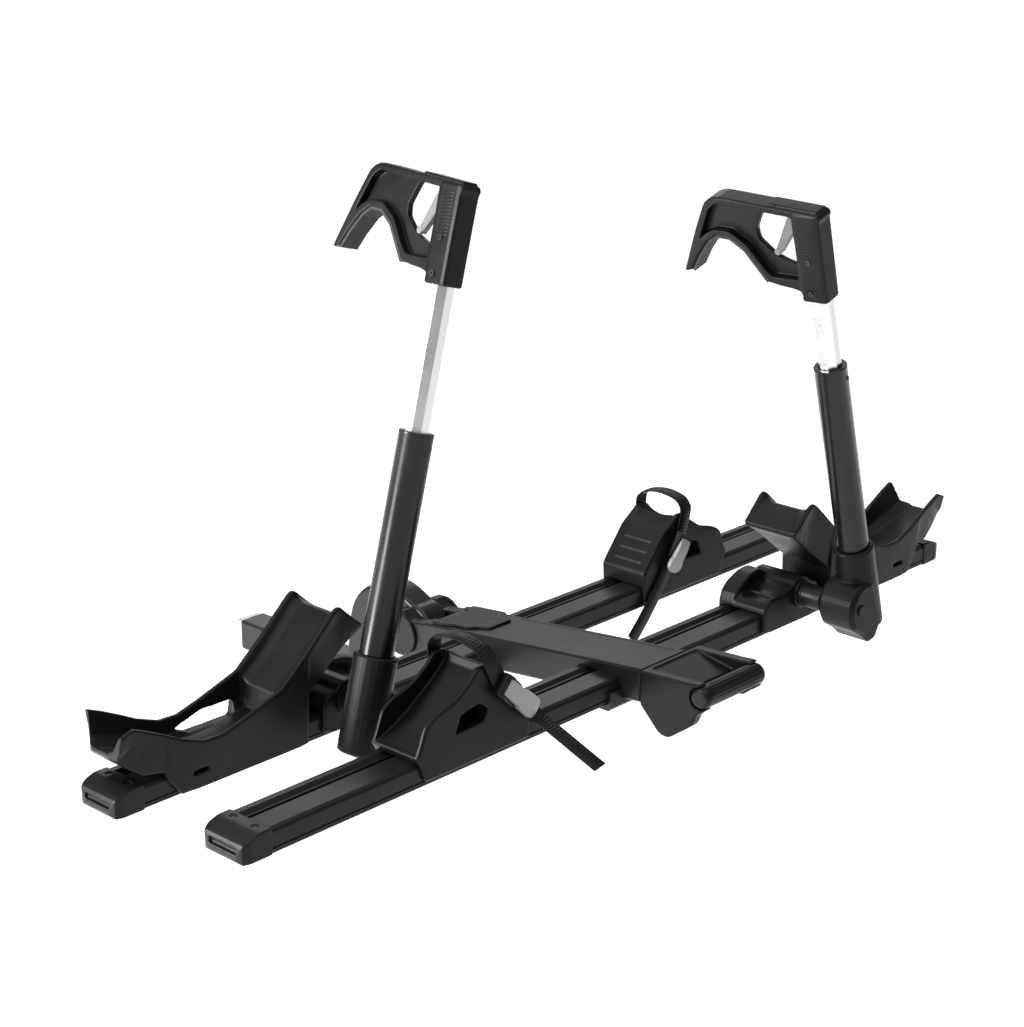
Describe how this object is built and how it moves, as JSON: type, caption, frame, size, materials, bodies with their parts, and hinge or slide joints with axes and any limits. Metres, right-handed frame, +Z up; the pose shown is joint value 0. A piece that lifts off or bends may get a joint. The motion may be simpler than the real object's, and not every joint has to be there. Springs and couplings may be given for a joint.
{
  "type": "hitch platform rack",
  "caption": "Receiver-mounted folding platform rack: tilting spine with two wheel trays, each with a wheel cradle, a folding ratchet arm with hook, and a sliding strap chock.",
  "frame": {"origin": "on the underside of the 2 in stinger, straight below the hitch pin axis", "axes": "+X along the trays, to the right seen from behind the vehicle; +Y towards the vehicle, along the stinger; +Z up"},
  "size_m": [1.4952, 1.032, 0.9006],
  "materials": {
    "rail_metal": "black anodised extrusion, satin",
    "spine_paint": "black powder coat, fine texture",
    "tube_paint": "satin black paint",
    "black_plastic": "moulded, fine grain",
    "charcoal_plastic": "moulded, fine grain, a little lighter",
    "silver_tube": "clear anodised, satin",
    "grey_plastic": "mid grey moulded",
    "silver_plastic": "light silver grey moulded",
    "rubber": "dark grey soft lining",
    "steel": "plated",
    "strap_plastic": "flexible ladder strap",
    "black_screw": "black coated screw"
  },
  "bodies": {
    "hitch": {"stinger": "tube_paint", "stinger_wedge": "steel", "mast": "tube_paint", "pivot_pin": "black_plastic", "pivot_cap": "black_plastic"},
    "platform": {"spine": "spine_paint", "hub_cover": "charcoal_plastic", "cover_screw_hub": "black_screw", "cover_screw_mid": "black_screw", "saddle_outer": "spine_paint", "saddle_inner": "spine_paint", "handle_frame": "charcoal_plastic", "handle_grip": "black_plastic"},
    "release_paddle": {"release_lever": "grey_plastic"},
    "release_rod": {"release_bar": "steel"},
    "tray_inner": {"tray_rail_inner": "rail_metal", "rail_cap_inner_left": "black_plastic", "rail_cap_inner_right": "black_plastic", "wheel_cradle_inner": "charcoal_plastic", "arm_shoe_inner": "charcoal_plastic", "arm_hinge_inner": "black_plastic"},
    "arm_inner": {"arm_knuckle_inner": "charcoal_plastic", "arm_tube_inner": "tube_paint"},
    "head_inner": {"arm_extension_inner": "silver_tube", "hook_head_inner": "black_plastic", "hook_pad_inner": "rubber", "head_screw_upper_inner": "black_screw", "head_screw_lower_inner": "black_screw"},
    "trigger_inner": {"ratchet_trigger_inner": "grey_plastic"},
    "chock_inner": {"wheel_chock_inner": "charcoal_plastic", "wheel_strap_inner": "strap_plastic", "buckle_base_inner": "black_plastic"},
    "buckle_inner": {"buckle_lever_inner": "silver_plastic"},
    "tray_outer": {"tray_rail_outer": "rail_metal", "rail_cap_outer_left": "black_plastic", "rail_cap_outer_right": "black_plastic", "wheel_cradle_outer": "charcoal_plastic", "arm_shoe_outer": "charcoal_plastic", "arm_hinge_outer": "black_plastic"},
    "arm_outer": {"arm_knuckle_outer": "charcoal_plastic", "arm_tube_outer": "tube_paint"},
    "head_outer": {"arm_extension_outer": "silver_tube", "hook_head_outer": "black_plastic", "hook_pad_outer": "rubber", "head_screw_upper_outer": "black_screw", "head_screw_lower_outer": "black_screw"},
    "trigger_outer": {"ratchet_trigger_outer": "grey_plastic"},
    "chock_outer": {"wheel_chock_outer": "charcoal_plastic", "wheel_strap_outer": "strap_plastic", "buckle_base_outer": "black_plastic"},
    "buckle_outer": {"buckle_lever_outer": "silver_plastic"}
  },
  "joints": [
    {"name": "platform_tilt", "type": "hinge", "parent": "hitch", "child": "platform", "pos_m": [0, -0.337, 0.1454], "axis": [1, 0, 0], "range_deg": [-80, 30]},
    {"name": "release_squeeze", "type": "hinge", "parent": "platform", "child": "release_paddle", "pos_m": [0.013, -0.874, 0.1774], "axis": [1, 0, 0], "range_deg": [0, 10], "stiffness_Nm_per_rad": 4, "springref_deg": -8.59},
    {"name": "release_bar_pull", "type": "slide", "parent": "platform", "child": "release_rod", "axis": [0, -0.9942, 0.1074], "range_m": [0, 0.0056]},
    {"name": "tray_shift_inner", "type": "slide", "parent": "platform", "child": "tray_inner", "axis": [1, 0, 0], "range_m": [-0.04, 0.04]},
    {"name": "arm_fold_inner", "type": "hinge", "parent": "tray_inner", "child": "arm_inner", "pos_m": [-0.34, -0.6134, 0.1895], "axis": [0, 1, 0], "range_deg": [-30, 50]},
    {"name": "hook_height_inner", "type": "slide", "parent": "arm_inner", "child": "head_inner", "axis": [0.2672, 0, 0.9636], "range_m": [-0.185, 0.06]},
    {"name": "trigger_pull_inner", "type": "hinge", "parent": "head_inner", "child": "trigger_inner", "pos_m": [-0.203, -0.55355, 0.82171], "axis": [0.9613, -0.0698, -0.2666], "range_deg": [0, 6], "stiffness_Nm_per_rad": 0.6, "springref_deg": -6.88},
    {"name": "chock_slide_inner", "type": "slide", "parent": "tray_inner", "child": "chock_inner", "axis": [1, 0, 0], "range_m": [-0.08, 0.15]},
    {"name": "buckle_open_inner", "type": "hinge", "parent": "chock_inner", "child": "buckle_inner", "pos_m": [0.37288, -0.55, 0.23811], "axis": [-0.8486, 0, 0.5291], "range_deg": [0, 80]},
    {"name": "tray_shift_outer", "type": "slide", "parent": "platform", "child": "tray_outer", "axis": [1, 0, 0], "range_m": [-0.04, 0.04]},
    {"name": "arm_fold_outer", "type": "hinge", "parent": "tray_outer", "child": "arm_outer", "pos_m": [0.366, -0.862, 0.2134], "axis": [0, -1, 0], "range_deg": [-30, 50]},
    {"name": "hook_height_outer", "type": "slide", "parent": "arm_outer", "child": "head_outer", "axis": [-0.2672, 0, 0.9636], "range_m": [-0.097, 0.148]},
    {"name": "trigger_pull_outer", "type": "hinge", "parent": "head_outer", "child": "trigger_outer", "pos_m": [0.25251, -0.80215, 0.7608], "axis": [0.9613, 0.0698, 0.2666], "range_deg": [0, 6], "stiffness_Nm_per_rad": 0.6, "springref_deg": -6.88},
    {"name": "chock_slide_outer", "type": "slide", "parent": "tray_outer", "child": "chock_outer", "axis": [-1, 0, 0], "range_m": [-0.08, 0.15]},
    {"name": "buckle_open_outer", "type": "hinge", "parent": "chock_outer", "child": "buckle_outer", "pos_m": [-0.29703, -0.7986, 0.26671], "axis": [-0.6712, 0, -0.7413], "range_deg": [0, 80]}
  ],
  "couplings": [
    {"joint": "release_bar_pull", "follows": "release_squeeze", "m_per_rad": 0.03}
  ]
}
